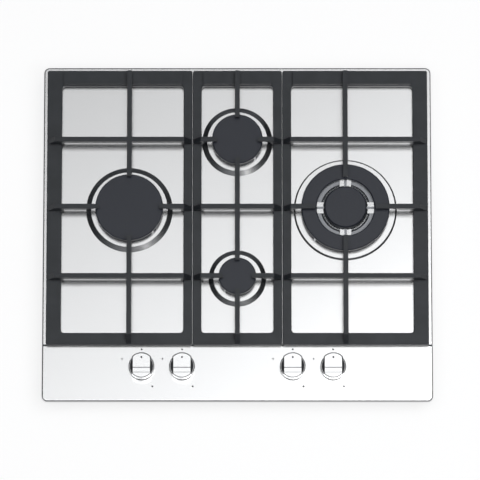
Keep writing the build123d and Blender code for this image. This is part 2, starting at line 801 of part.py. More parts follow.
def make_grate(x0, x1, left_rail, right_rail, centre, under):
    """A cast pan support: flat frame, raised rear saddle, raised bars whose ends lean in."""
    low, top = deck_z + rail_lift, deck_z + rail_lift + rail_h
    wx0, wx1 = x0 + left_rail, x1 - right_rail
    wy0, wy1 = grate_front + rail_front, grate_rear - rail_rear
    middle = ((wx0 + wx1) / 2, (wy0 + wy1) / 2)
    bars = bar_plan(x0, x1, centre, under)
    bar_foot = bar_top_z - bar_deep
    with BuildPart() as legs:
        with BuildSketch(Plane.XY.offset(top - frame_edge)):
            add(bars)
        extrude(amount=bar_foot + past - top + frame_edge)
        with BuildSketch(Plane.XY.offset(top - 2 * frame_edge)):
            with Locations(middle):
                RectangleRounded(wx1 - wx0 - bar_w, wy1 - wy0 - bar_w, window_corner)
        extrude(amount=bar_top_z, mode=Mode.SUBTRACT)
    with BuildPart() as lean:
        with BuildSketch(Plane.XY.offset(top - 2 * frame_edge)):
            add(grate_plan(x0, x1))
        with BuildSketch(Plane.XY.offset(bar_top_z)):
            add(grate_plan(x0, x1, bar_slope, bar_slope_rear))
        loft()
    with BuildPart() as arms:
        with BuildSketch(Plane.XY.offset(bar_foot)):
            add(bars)
        extrude(amount=bar_deep)
        add(legs.part)
        add(lean.part, mode=Mode.INTERSECT)
        for b, _ in under:
            with Locations((b["x"], b["y"], bar_foot + (bar_deep - tip_deep) / 2)):
                Cone(b["cap"] + tip_clear + tip_run, b["cap"] + tip_clear, bar_deep - tip_deep, mode=Mode.SUBTRACT)
    with BuildPart() as grate:
        with BuildSketch(Plane.XY.offset(low)):
            add(grate_plan(x0, x1))
            with Locations(middle):
                RectangleRounded(wx1 - wx0, wy1 - wy0, window_corner, mode=Mode.SUBTRACT)
        extrude(amount=rail_h)
        fillet(grate.faces().sort_by(Axis.Z)[-1].edges(), frame_edge)
        block(wx0 + saddle_in, wx1 - saddle_in, wy1 + frame_edge, grate_rear - saddle_in,
              top - frame_edge, top + saddle_rise)
        add(arms.part)
    return grate


def make_pads(x0, x1, left_rail, right_rail):
    """Four rubber pads under a support's corners."""
    with BuildPart() as pads:
        for x in (x0 + left_rail / 2, x1 - right_rail / 2):
            for y in (grate_front + rail_front / 2, grate_rear - rail_rear / 2):
                ring(pad_r, 0, deck_z + seat_gap, deck_z + rail_lift, x, y)
    return pads


inner_edge = middle_w / 2 + grate_gap
grates = dict(
    left=(-outer_edge, -inner_edge, rail_side, rail_inner, rapid["x"], [(rapid, finger_outer)]),
    middle=(-middle_w / 2, middle_w / 2, rail_inner, rail_inner, semi["x"],
            [(semi, finger_rear), (small, finger_front)]),
    right=(inner_edge, outer_edge, rail_inner, rail_side, wok["x"], [(wok, finger_outer)]),
)
for name, sizes in grates.items():
    write(make_grate(*sizes), f"pan_support_{name}")
    write(make_pads(*sizes[:4]), f"support_pads_{name}")


# ---- electrics ----
collar_low = flange_z - igniter_collar
with BuildPart() as igniters:
    for b in burners.values():
        x, y = igniter_point(b)
        ring(igniter_r, pin_r, bowl_z, cup_top + igniter_rise, x, y)
        ring(igniter_collar, igniter_r, collar_low, flange_z, x, y)
write(igniters, "igniters")

with BuildPart() as igniter_pins:
    for b in burners.values():
        x, y = igniter_point(b)
        ring(pin_r, 0, bowl_z, cap_seat_z - pin_below, x, y)
write(igniter_pins, "igniter_pins")

gx, gy = generator_at
gw, gd, gh = generator
with BuildPart() as spark_generator:
    block(gx - gw / 2, gx + gw / 2, gy - gd / 2, gy + gd / 2, tray_t, tray_t + gh)
    fillet(spark_generator.edges().filter_by(Axis.Z), generator_round)
write(spark_generator, "spark_generator")

wall_y = tray_d / 2 - tray_t
with BuildPart() as terminal_block:
    block(gx - terminal[0] / 2, gx + terminal[0] / 2, gy + gd / 2, wall_y, tray_t, tray_t + terminal[1])
    along_y(gx, gh / 2, gland_r, gy + gd / 2 + gland_stop, wall_y, Mode.SUBTRACT)
write(terminal_block, "terminal_block")

right_face = gx + gw / 2
lead_rows = dict(right=gy + 2 * row_step, rear=gy + row_step, front=gy)
with BuildPart() as ignition_leads:
    for name, b in burners.items():
        x, y = igniter_point(b)
        if name == "left":
            route = [(x, gy - gd / 2, lead_z), (x, y, lead_z), (x, y, bowl_z)]
        elif name == "front":
            row = lead_rows[name]
            route = [(right_face, row, lead_z), (-detour_x, row, lead_z), (-detour_x, y + detour_y, lead_z),
                     (x, y + detour_y, lead_z), (x, y, lead_z), (x, y, bowl_z)]
        else:
            row = lead_rows[name]
            route = [(right_face, row, lead_z), (x, row, lead_z), (x, y, lead_z), (x, y, bowl_z)]
        add(tube_along(route, lead_bend, lead_r))
write(ignition_leads, "ignition_leads")

capillary_start = valve_rear + magnet_l
with BuildPart() as thermocouples:
    for name, b in burners.items():
        x, y = probe_point(b)
        turn_in, turn_out = (capillary_start + turn for turn in probe_turns[name])
        vx = valve_x[name]
        route = [(vx, capillary_start, magnet_z), (vx, turn_in, magnet_z), (x, turn_out, magnet_z),
                 (x, y, magnet_z), (x, y, flange_z)]
        add(tube_along(route, lead_bend, capillary_r))
        ring(probe_r, 0, collar_low, cap_seat_z - probe_below, x, y)
        ring(igniter_collar, 0, collar_low, flange_z, x, y)
write(thermocouples, "thermocouples")

switch_y = valve_rear - switch_d / 2
switch_z = valve_top + switch_h / 2
with BuildPart() as valve_switches:
    for x in valve_x.values():
        block(x - switch_w / 2, x + switch_w / 2, valve_rear - switch_d, valve_rear, valve_top, valve_top + switch_h)
write(valve_switches, "valve_switches")

xs = sorted(valve_x.values())
with BuildPart() as switch_leads:
    for a, c in zip(xs, xs[1:]):
        along_x(switch_y, switch_z, lead_r, a + switch_w / 2, c - switch_w / 2)
    lead_x = gx - gw / 4
    add(tube_along(
        [(xs[0] - switch_w / 2, switch_y, switch_z), (lead_x, switch_y, switch_z), (lead_x, gy, switch_z),
         (lead_x, gy, tray_t + gh)],
        lead_bend, lead_r,
    ))
write(switch_leads, "switch_leads")


# ---- fastenings of the tray and the worktop clamps ----
with BuildPart() as tray_nuts:
    for x, y in stud_points:
        with BuildSketch(Plane.XY.offset(tray_top - tray_t - nut_h)):
            with Locations((x, y)):
                RegularPolygon(nut_r, 6)
                Circle(stud_r + running, mode=Mode.SUBTRACT)
        extrude(amount=nut_h)
write(tray_nuts, "tray_nuts")

with BuildPart() as clamp_brackets:
    for y in clamp_y:
        for s in (-1, 1):
            wall, out, toe = (s * (tray_w / 2 + d) for d in (0, clamp_t, clamp_reach))
            block(min(wall, out), max(wall, out), y - clamp_w / 2, y + clamp_w / 2, clamp_foot, clamp_foot + clamp_leg)
            block(min(wall, toe), max(wall, toe), y - clamp_w / 2, y + clamp_w / 2, clamp_foot, clamp_foot + clamp_t)
            with BuildSketch(Plane((wall, y, clamp_screw_z), z_dir=(s, 0, 0))):
                Circle(screw_r + running)
            extrude(amount=clamp_t, mode=Mode.SUBTRACT)
write(clamp_brackets, "clamp_brackets")
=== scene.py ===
from math import cos, pi, radians, sin

import bmesh
import bpy
from mathutils import Matrix, Vector


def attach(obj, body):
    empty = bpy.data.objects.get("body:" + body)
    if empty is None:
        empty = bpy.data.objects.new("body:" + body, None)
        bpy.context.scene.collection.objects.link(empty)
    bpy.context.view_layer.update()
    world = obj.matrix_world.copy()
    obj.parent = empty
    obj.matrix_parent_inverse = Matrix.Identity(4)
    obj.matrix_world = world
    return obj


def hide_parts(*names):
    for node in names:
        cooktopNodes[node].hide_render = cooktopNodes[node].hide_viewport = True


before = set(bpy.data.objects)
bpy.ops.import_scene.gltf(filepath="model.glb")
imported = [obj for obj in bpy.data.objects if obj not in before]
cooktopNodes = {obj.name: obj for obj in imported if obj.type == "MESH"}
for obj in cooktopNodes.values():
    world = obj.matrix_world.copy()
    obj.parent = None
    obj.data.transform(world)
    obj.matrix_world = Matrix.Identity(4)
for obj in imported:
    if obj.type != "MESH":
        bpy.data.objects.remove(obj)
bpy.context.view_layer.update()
burnerNames = ("left", "rear", "front", "right")
supportNames = ("left", "middle", "right")
mm = 0.001
print("cooktop frame loaded:", len(cooktopNodes), "nodes")


# ---- small helpers ----
def hexColour(code):
    # sRGB hex to the linear colour that the shaders take
    parts = [int(code[i:i + 2], 16) / 255 for i in (0, 2, 4)]
    return tuple(c / 12.92 if c <= 0.04045 else ((c + 0.055) / 1.055) ** 2.4 for c in parts) + (1.0,)


def addNode(tree, kind, inputs=None, **settings):
    # one shader node with its settings, values and links
    node = tree.nodes.new(kind)
    for key, value in settings.items():
        setattr(node, key, value)
    for socket, value in (inputs or {}).items():
        if isinstance(value, bpy.types.NodeSocket):
            tree.links.new(value, node.inputs[socket])
        else:
            node.inputs[socket].default_value = value
    return node


def startMaterial(name):
    material = bpy.data.materials.new(name)
    material.use_nodes = True
    tree = material.node_tree
    tree.nodes.clear()
    return material, tree


def objectPattern(tree, stretch):
    # object coordinates in metres, stretched for grain that runs one way
    place = addNode(tree, "ShaderNodeTexCoord")
    return addNode(tree, "ShaderNodeMapping", {"Vector": place.outputs["Object"], "Scale": stretch}).outputs[0]


def noiseValue(tree, vector, perMetre, detail=3.0, rough=0.5):
    return addNode(tree, "ShaderNodeTexNoise", {
        "Vector": vector, "Scale": perMetre, "Detail": detail, "Roughness": rough}).outputs["Fac"]


def rampBetween(tree, value, colours, low=0.3, high=0.7):
    # spreads the middle of a noise over two colours
    ramp = addNode(tree, "ShaderNodeValToRGB", {"Fac": value})
    ramp.color_ramp.elements[0].position = low
    ramp.color_ramp.elements[1].position = high
    ramp.color_ramp.elements[0].color = hexColour(colours[0])
    ramp.color_ramp.elements[1].color = hexColour(colours[1])
    return ramp.outputs["Color"]


def rangeValue(tree, value, results, low=0.3, high=0.7):
    # spreads the span from low to high over the two results
    return addNode(tree, "ShaderNodeMapRange", {
        "Value": value, "From Min": low, "From Max": high, "To Min": results[0], "To Max": results[1]}).outputs[0]


def calculate(tree, operation, first, second=0.0):
    return addNode(tree, "ShaderNodeMath", {0: first, 1: second}, operation=operation).outputs[0]


def blendColours(tree, share, first, second):
    return addNode(tree, "ShaderNodeMix", {0: share, 6: first, 7: second}, data_type="RGBA").outputs[2]


def blendValues(tree, share, first, second):
    return addNode(tree, "ShaderNodeMix", {"Factor": share, "A": first, "B": second}, data_type="FLOAT").outputs[0]


def finishMaterial(tree, sockets):
    shader = addNode(tree, "ShaderNodeBsdfPrincipled", sockets)
    addNode(tree, "ShaderNodeOutputMaterial", {"Surface": shader.outputs[0]})


def bumpFrom(tree, value, relief):
    # relief in mm
    return addNode(tree, "ShaderNodeBump", {"Height": value, "Distance": relief * mm, "Strength": 1.0}).outputs[0]


# ---- finishes ----
# Brushed austenitic stainless steel sheet: long fine scratches along X give a soft mirror that smears across them.
panelSteel = dict(colours=("ebebeb", "eeeeee"), grainLength=110, grainWidth=1.0, roughness=(0.2, 0.23),
                  smear=0.55, scratch=0.0004)


def brushedStainless():
    material, tree = startMaterial("brushedStainless")
    # real scratches are near 0.1 mm wide, drawn 1 mm so that they show
    along, across = 1000 / panelSteel["grainLength"], 1000 / panelSteel["grainWidth"]
    grain = objectPattern(tree, (along, across, across))
    streaks = noiseValue(tree, grain, 1.0, 4.0, 0.6)
    tangent = addNode(tree, "ShaderNodeTangent", direction_type="RADIAL", axis="X").outputs[0]
    finishMaterial(tree, {
        "Base Color": rampBetween(tree, streaks, panelSteel["colours"]),
        "Metallic": 1.0,
        "Roughness": rangeValue(tree, streaks, panelSteel["roughness"]),
        "Anisotropic": panelSteel["smear"],
        "Tangent": tangent,
        "Normal": bumpFrom(tree, streaks, panelSteel["scratch"]),
    })
    return material


# Hot-dip galvanised sheet: flat grey zinc with a crystal spangle of about 8 mm.
trayZinc = dict(colours=("8f9496", "b3b7b8"), spangle=8, roughness=(0.38, 0.55),
                grainPerMetre=900, relief=0.02)


def galvanisedSheet():
    material, tree = startMaterial("galvanisedSheet")
    place = objectPattern(tree, (1, 1, 1))
    spangle = addNode(tree, "ShaderNodeTexVoronoi", {"Vector": place, "Scale": 1000 / trayZinc["spangle"]})
    tone = addNode(tree, "ShaderNodeSeparateColor", {"Color": spangle.outputs["Color"]}).outputs[0]
    finishMaterial(tree, {
        "Base Color": rampBetween(tree, tone, trayZinc["colours"], 0.0, 1.0),
        "Metallic": 1.0,
        "Roughness": rangeValue(tree, tone, trayZinc["roughness"], 0.0, 1.0),
        "Normal": bumpFrom(tree, noiseValue(tree, place, trayZinc["grainPerMetre"]), trayZinc["relief"]),
    })
    return material


# Black vitreous enamel on grey cast iron: satin, with the sand grain of the casting showing through.
supportIron = dict(colours=("3b3f44", "44484d"), grit=1.6, patch=30, roughness=(0.36, 0.5), relief=0.05)


def enamelledIron():
    material, tree = startMaterial("enamelledIron")
    place = objectPattern(tree, (1, 1, 1))
    grit = noiseValue(tree, place, 1000 / supportIron["grit"], 3.0, 0.55)
    patch = noiseValue(tree, place, 1000 / supportIron["patch"], 2.0)
    finishMaterial(tree, {
        "Base Color": rampBetween(tree, patch, supportIron["colours"]),
        "Roughness": rangeValue(tree, grit, supportIron["roughness"]),
        "Normal": bumpFrom(tree, grit, supportIron["relief"]),
    })
    return material


# Black vitreous enamel on pressed steel: finer and smoother than the castings, faintly pebbled.
burnerCap = dict(colours=("383c47", "3f434f"), pebble=1.1, roughness=(0.32, 0.42), relief=0.02)


def enamelledCap():
    material, tree = startMaterial("enamelledCap")
    place = objectPattern(tree, (1, 1, 1))
    pebble = noiseValue(tree, place, 1000 / burnerCap["pebble"], 2.0)
    finishMaterial(tree, {
        "Base Color": rampBetween(tree, pebble, burnerCap["colours"], 0.35, 0.65),
        "Roughness": rangeValue(tree, pebble, burnerCap["roughness"]),
        "Normal": bumpFrom(tree, pebble, burnerCap["relief"]),
    })
    return material


# Metals with an even surface: colours, grain size in mm, roughness range and relief in mm.
plainMetals = dict(
    # gravity die-cast aluminium, shot-blasted: pale and evenly matt
    castAluminium=dict(colours=("c3c4c5", "d3d4d4"), grain=0.9, roughness=(0.3, 0.42), relief=0.02),
    # drawn aluminium tube: brighter and smoother
    drawnAluminium=dict(colours=("c9cbcd", "d6d7d8"), grain=2.5, roughness=(0.25, 0.35), relief=0.006),
    # turned free-cutting brass: yellow with fine tool marks
    turnedBrass=dict(colours=("c9a45a", "d8b76c"), grain=0.7, roughness=(0.22, 0.34), relief=0.008),
    # zinc-plated steel screws and clips: bluish bright grey
    zincPlate=dict(colours=("b4b8b8", "c8cbc9"), grain=1.5, roughness=(0.25, 0.38), relief=0.006),
)


# Burner crowns: die-cast aluminium, rough below and smoother at the top of their bridges and rims. The darker grey
# below the given height is painted shade for the recess under the caps; the bright colour above it is partly a
# machined finish and partly a painted highlight on the rims and bridges.
crownShadeAndHighlight = dict(cast=("8b8d90", "a2a4a8"), machinedLitTop=("dddede", "e8e8e8"), litTopFrom=66.0, grain=1.1,
                    castRough=(0.34, 0.46), machinedRough=(0.16, 0.24), relief=0.03)


def crownAluminium():
    material, tree = startMaterial("crownAluminium")
    place = addNode(tree, "ShaderNodeTexCoord").outputs["Object"]
    grain = noiseValue(tree, place, 1000 / crownShadeAndHighlight["grain"])
    height = addNode(tree, "ShaderNodeSeparateXYZ", {"Vector": place}).outputs["Z"]
    # above this height the crown takes the bright colour, a painted highlight on rims and bridges; below it the
    # darker grey is painted shade
    machinedLitTop = calculate(tree, "GREATER_THAN", height, crownShadeAndHighlight["litTopFrom"] * mm)
    finishMaterial(tree, {
        "Base Color": blendColours(tree, machinedLitTop, rampBetween(tree, grain, crownShadeAndHighlight["cast"]),
                                   rampBetween(tree, grain, crownShadeAndHighlight["machinedLitTop"])),
        "Metallic": 1.0,
        "Roughness": blendValues(tree, machinedLitTop, rangeValue(tree, grain, crownShadeAndHighlight["castRough"]),
                                 rangeValue(tree, grain, crownShadeAndHighlight["machinedRough"])),
        "Normal": bumpFrom(tree, grain, crownShadeAndHighlight["relief"]),
    })
    return material


# Satin chrome on a zinc die casting: a bright, slightly smeared mirror on the knobs.
knobChrome = dict(colours=("f3f3f3", "f8f8f8"), grain=1.2, stretch=0.15, roughness=(0.12, 0.16), relief=0.002)


def satinChrome():
    material, tree = startMaterial("satinChrome")
    grain = noiseValue(tree, objectPattern(tree, (knobChrome["stretch"], 1, 1)), 1000 / knobChrome["grain"])
    finishMaterial(tree, {
        "Base Color": rampBetween(tree, grain, knobChrome["colours"]),
        "Metallic": 1.0,
        "Roughness": rangeValue(tree, grain, knobChrome["roughness"]),
        "Normal": bumpFrom(tree, grain, knobChrome["relief"]),
    })
    return material


# Thermocouple: the tip over the cup is bright steel, the capillary below it drawn copper.
probeTip = dict(steel=("a9abad", "bdbfc0"), copper=("b06a48", "c98360"), changeHeight=46, grain=2.0,
                roughness=(0.25, 0.38))


def steelTippedCopper():
    material, tree = startMaterial("steelTippedCopper")
    place = addNode(tree, "ShaderNodeTexCoord").outputs["Object"]
    grain = noiseValue(tree, place, 1000 / probeTip["grain"])
    height = addNode(tree, "ShaderNodeSeparateXYZ", {"Vector": place}).outputs["Z"]
    above = calculate(tree, "GREATER_THAN", height, probeTip["changeHeight"] * mm)
    finishMaterial(tree, {
        "Base Color": blendColours(tree, above, rampBetween(tree, grain, probeTip["copper"]),
                                   rampBetween(tree, grain, probeTip["steel"])),
        "Metallic": 1.0,
        "Roughness": rangeValue(tree, grain, probeTip["roughness"]),
    })
    return material


# Plastics, rubbers and ceramics: colours, grain size in mm, roughness range and relief in mm.
softFinishes = dict(
    # closed-cell foam strip: matt, with open cut cells
    foamStrip=dict(colours=("1d1d1e", "2b2b2c"), grain=0.8, roughness=(0.85, 0.95), relief=0.15),
    # moulded silicone rubber: matt black
    siliconeRubber=dict(colours=("161617", "202021"), grain=1.4, roughness=(0.55, 0.7), relief=0.02),
    # silicone-varnished glass sleeve of the leads: brick red with a woven look
    wovenSleeve=dict(colours=("6d2418", "8a3222"), grain=0.6, roughness=(0.5, 0.7), relief=0.05),
    # glass-filled polyamide moulding: off-white, faintly mottled
    polyamideMoulding=dict(colours=("d8d7d0", "e4e3dd"), grain=1.8, roughness=(0.45, 0.6), relief=0.02),
    # glazed steatite porcelain: glossy warm white
    glazedPorcelain=dict(colours=("e3e0d6", "eeece4"), grain=4.0, roughness=(0.12, 0.2), relief=0.004),
    # dark sheet on the knob shoulders, painted shade for the shade beside the grip, with a fine spark-eroded
    # texture
    paintedShoulderShade=dict(colours=("3c3d41", "45464a"), grain=0.9, roughness=(0.5, 0.62), relief=0.02),
    # screen-printed ceramic ink: near black, thin and matt
    printedInk=dict(colours=("1e1f21", "292a2c"), grain=0.6, roughness=(0.5, 0.65), relief=0.004),
    # the same ink laid on thinly for the sparks, so that the steel greys it
    thinInk=dict(colours=("8f9093", "9c9da0"), grain=0.6, roughness=(0.45, 0.6), relief=0.002),
)


def evenFinish(name):
    # an even metal or soft finish from the two lists above
    size = plainMetals.get(name) or softFinishes[name]
    material, tree = startMaterial(name)
    grain = noiseValue(tree, objectPattern(tree, (1, 1, 1)), 1000 / size["grain"])
    finishMaterial(tree, {
        "Base Color": rampBetween(tree, grain, size["colours"]),
        "Metallic": 1.0 if name in plainMetals else 0.0,
        "Roughness": rangeValue(tree, grain, size["roughness"]),
        "Normal": bumpFrom(tree, grain, size["relief"]),
    })
    return material


finishes = {
    "stainless": brushedStainless(),
    "galvanised": galvanisedSheet(),
    "iron_enamel": enamelledIron(),
    "cap_enamel": enamelledCap(),
    "knob_metal": satinChrome(),
    "cast_aluminium": evenFinish("castAluminium"),
    "tube_aluminium": evenFinish("drawnAluminium"),
    "brass": evenFinish("turnedBrass"),
    "copper": steelTippedCopper(),
    "zinc_steel": evenFinish("zincPlate"),
    "foam": evenFinish("foamStrip"),
    "silicone": evenFinish("siliconeRubber"),
    "lead_sleeve": evenFinish("wovenSleeve"),
    "moulded": evenFinish("polyamideMoulding"),
    "porcelain": evenFinish("glazedPorcelain"),
}
crownFinish = crownAluminium()
printedInk = evenFinish("printedInk")
thinInk = evenFinish("thinInk")
# a dark finish that paints the shade on the knob shoulders
paintedShoulderShade = evenFinish("paintedShoulderShade")
print("finishes made:", len(finishes) + 4)

# which of the cooktop's pieces takes which finish
finishOf = {
    "stainless": ["top_panel"],
    "galvanised": ["burner_tray", "manifold"],
    "foam": ["rim_seal"],
    "iron_enamel": ["pan_support_" + s for s in supportNames],
    "cap_enamel": ["cap_left", "cap_rear", "cap_front", "cap_right_ring", "cap_right_middle"],
    "knob_metal": ["knob_" + b for b in burnerNames],
    "cast_aluminium": [part + b for b in burnerNames for part in ("cup_", "crown_")],
    "tube_aluminium": ["gas_tube_" + b for b in burnerNames],
    "brass": ["valve_" + b for b in burnerNames] + ["injectors", "inlet_elbow"],
    "copper": ["thermocouples"],
    "zinc_steel": [part + b for b in burnerNames for part in ("stem_", "thrust_washer_")] + [
        "manifold_straps", "valve_covers", "pan_head_screws", "igniter_pins", "tray_nuts", "clamp_brackets"],
    "silicone": ["support_pads_" + s for s in supportNames] + ["knob_seals"],
    "lead_sleeve": ["ignition_leads", "switch_leads"],
    "moulded": ["spark_generator", "terminal_block", "valve_switches"],
    "porcelain": ["igniters"],
}
for finishName, members in finishOf.items():
    for member in members:
        mesh = cooktopNodes[member].data
        mesh.materials.clear()
        mesh.materials.append(finishes[finishName])
for burner in burnerNames:
    cooktopNodes["crown_" + burner].data.materials[0] = crownFinish
bare = sorted(set(cooktopNodes) - {m for members in finishOf.values() for m in members})
print("nodes without a finish:", bare)

# ---- softened edges on the pieces that show ----
# start of the node's name: bevel in mm and its rounds
softEdges = dict(pan_support_=(0.9, 3), knob_seals=(0.35, 2), cap_=(0.35, 2), crown_=(0.25, 1))
joinWithin = 0.002
sharpFrom = 35


def softenEdges(node, width, rounds):
    # the node's own mesh stays as it is: loose triangles are joined and their edges rounded on top of it
    weld = node.modifiers.new("joinedFaces", "WELD")
    weld.merge_threshold = joinWithin * mm
    bevel = node.modifiers.new("softEdge", "BEVEL")
    bevel.width = width * mm
    bevel.segments = rounds
    bevel.limit_method = "ANGLE"
    bevel.angle_limit = radians(sharpFrom)
    bevel.use_clamp_overlap = True
    flatten = node.modifiers.new("flatFaces", "WEIGHTED_NORMAL")
    flatten.keep_sharp = True


for start, (width, rounds) in softEdges.items():
    for name, node in cooktopNodes.items():
        if name.startswith(start):
            softenEdges(node, width, rounds)
print("edges softened")

# ---- knobs: turned drum, flat-sided grip, painted shade on the shoulders ----
knobShape = dict(
    across=-204.0, places=dict(left=-142.0, front=-82.0, rear=82.0, right=142.0),
    foot=58.2, radius=19.0, height=14.0, shoulder=5.5, grip=28.0, edgeIn=1.3, edgeDown=0.75,
    grooves=((-3.4, 1.1, 0.32), (-10.6, 0.6, 0.14)),  # distance to the rear, width, depth
    insetRadius=17.3, insetLift=0.25, insetSunk=0.1, gripSunk=0.2,
    dotRadius=1.35, dotBack=12.0, dotLift=0.03, dotSunk=0.01,
)


def newPiece(name, build, finish, body, smoothAngle=20):
    # one mesh from the bmesh, in millimetres until here
    bmesh.ops.scale(build, vec=(mm, mm, mm), verts=build.verts)
    bmesh.ops.recalc_face_normals(build, faces=build.faces)
    mesh = bpy.data.meshes.new(name)
    build.to_mesh(mesh)
    build.free()
    mesh.materials.append(finish)
    mesh.shade_smooth()
    mesh.set_sharp_from_angle(angle=radians(smoothAngle))
    piece = bpy.data.objects.new(name, mesh)
    bpy.context.scene.collection.objects.link(piece)
    flatten = piece.modifiers.new("flatFaces", "WEIGHTED_NORMAL")
    flatten.keep_sharp = True
    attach(piece, body)
    return piece


def discFace(build, radius, x, y, z, parts=96):
    made = bmesh.ops.create_circle(build, cap_ends=True, radius=radius, segments=parts,
                                   matrix=Matrix.Translation((x, y, z)))
    return list(made["verts"][0].link_faces)


def raiseFaces(build, faces, height):
    made = bmesh.ops.extrude_face_region(build, geom=faces)["geom"]
    verts = [g for g in made if isinstance(g, bmesh.types.BMVert)]
    bmesh.ops.translate(build, vec=(0, 0, height), verts=verts)
    return [g for g in made if isinstance(g, bmesh.types.BMFace)]


def cutAcross(build, faces, point, normal, drop=False):
    # a straight cut through flat faces; drop takes away what lies beyond it
    parts = list(dict.fromkeys(g for face in faces for g in (face, *face.edges, *face.verts)))
    made = bmesh.ops.bisect_plane(build, geom=parts, plane_co=point, plane_no=normal, clear_outer=drop)
    return [g for g in made["geom"] if isinstance(g, bmesh.types.BMFace) and g.is_valid]


def chamferOutline(build, faces):
    # a wide shallow chamfer: drawn in, then let down at the rim
    size = knobShape
    outline = list(dict.fromkeys(v for face in faces for e in face.edges
                                 if sum(f in faces for f in e.link_faces) == 1 for v in e.verts))
    bmesh.ops.inset_region(build, faces=faces, thickness=size["edgeIn"], use_even_offset=True)
    bmesh.ops.translate(build, vec=(0, 0, -size["edgeDown"]), verts=outline)


def pressGroove(build, faces, y, width, depth):
    # a V-shaped groove right across the grip
    for line in (y - width / 2, y, y + width / 2):
        faces = cutAcross(build, faces, (0, line, 0), (0, 1, 0))
    for vert in dict.fromkeys(v for face in faces for v in face.verts):
        if abs(vert.co.y - y) < 0.01:
            vert.co.z -= depth
    return faces


def knobBody(x):
    size = knobShape
    y = size["across"]
    build = bmesh.new()
    # the drum under the shoulders
    drum = raiseFaces(build, discFace(build, size["radius"], x, y, size["foot"]), size["shoulder"])
    chamferOutline(build, drum)
    # the grip, with its two flats and the thumb grooves
    low = size["foot"] + size["shoulder"] - size["edgeDown"] - size["gripSunk"]
    grip = discFace(build, size["radius"], x, y, low)
    for side in (-1, 1):
        grip = cutAcross(build, grip, (x + side * size["grip"] / 2, 0, 0), (side, 0, 0), True)
    top = raiseFaces(build, grip, size["foot"] + size["height"] - low)
    chamferOutline(build, top)
    top = [face for face in top if face.is_valid]
    for back, width, depth in size["grooves"]:
        top = pressGroove(build, top, y + back, width, depth)
    return build


def shoulderShadeInsets(x):
    # dark crescents laid on both shoulders: painted shade beside the grip
    size = knobShape
    build = bmesh.new()
    for side in (-1, 1):
        low = size["foot"] + size["shoulder"] - size["insetSunk"]
        face = discFace(build, size["insetRadius"], x, size["across"], low)
        face = cutAcross(build, face, (x + side * size["grip"] / 2, 0, 0), (-side, 0, 0), True)
        raiseFaces(build, face, size["insetSunk"] + size["insetLift"])
    return build


def knobDot(x):
    size = knobShape
    build = bmesh.new()
    face = discFace(build, size["dotRadius"], x, size["across"] + size["dotBack"],
                    size["foot"] + size["height"] - size["dotSunk"], 24)
    raiseFaces(build, face, size["dotLift"])
    return build


for name, x in knobShape["places"].items():
    knob = newPiece("knob_body_" + name, knobBody(x), finishes["knob_metal"], "knob_" + name)
    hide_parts("knob_" + name)
    # the dark crescents on the shoulders are painted shade
    newPiece("knob_shoulder_shade_" + name, shoulderShadeInsets(x), paintedShoulderShade, "knob_" + name)
    newPiece("knob_dot_" + name, knobDot(x), printedInk, "knob_" + name)
print("knobs built")

# ---- printed marks on the control strip ----
# each mark's place is its distance from the knob's axis: right, rear
stripMarks = dict(
    surface=53.2, sunk=0.01, ink=0.03,
    offDot=(0.0, 27.4, 1.35), burnerDot=(16.0, -28.5, 1.35), spark=(-29.0, 13.0, 2.6), sparkWaist=0.28,
)


def inkDot(build, x, y, radius):
    face = discFace(build, radius, x, y, stripMarks["surface"] - stripMarks["sunk"], 20)
    raiseFaces(build, face, stripMarks["sunk"] + stripMarks["ink"])


def inkSpark(build, x, y, size):
    # a four-pointed star: an octagon with every second corner drawn in
    face = discFace(build, size, x, y, stripMarks["surface"] - stripMarks["sunk"], 8)
    for vert in face[0].verts:
        right, rear = vert.co.x - x, vert.co.y - y
        if abs(right * rear) > size * size / 4:
            vert.co.x = x + right * stripMarks["sparkWaist"]
            vert.co.y = y + rear * stripMarks["sparkWaist"]
    raiseFaces(build, face, stripMarks["sunk"] + stripMarks["ink"])


def printedMarks(name, ink, drawings):
    # every knob has the same marks round it, all on one thin sheet of ink
    build = bmesh.new()
    for x in knobShape["places"].values():
        for key, draw in drawings:
            right, rear, size = stripMarks[key]
            draw(build, x + right, knobShape["across"] + rear, size)
    newPiece(name, build, ink, "body")


printedMarks("control_dots", printedInk, (("offDot", inkDot), ("burnerDot", inkDot)))
printedMarks("control_symbols", thinInk, (("spark", inkSpark),))
print("control marks printed")

# ---- floor, light and camera ----
studio = dict(
    floorReach=4.0, floorUnder=0.0005, paper=("bcbcbc", "c2c2c2"), fibrePerMetre=400,
    floorGlow=0.8, mirroredShare=0.4,
    skyStrength=0.92, sideFrom=(0.2, 0.7), sideTone=0.25, bandRise=(0.05, 0.15), tentRise=(0.82, 0.93),
    tentLean=(0.6, -1.4, 0.0), tentSpan=(-0.43, 0.1), tentTones=(0.0, 4.5), tentEnd=(-0.02, 0.16), pastTent=0.2,
    sky=((0.0, "c2c4c6"), (0.03, "a6a8aa"), (0.08, "505256"), (0.83, "505256"), (0.93, "f2f3f5"), (1.0, "f4f5f6")),
)


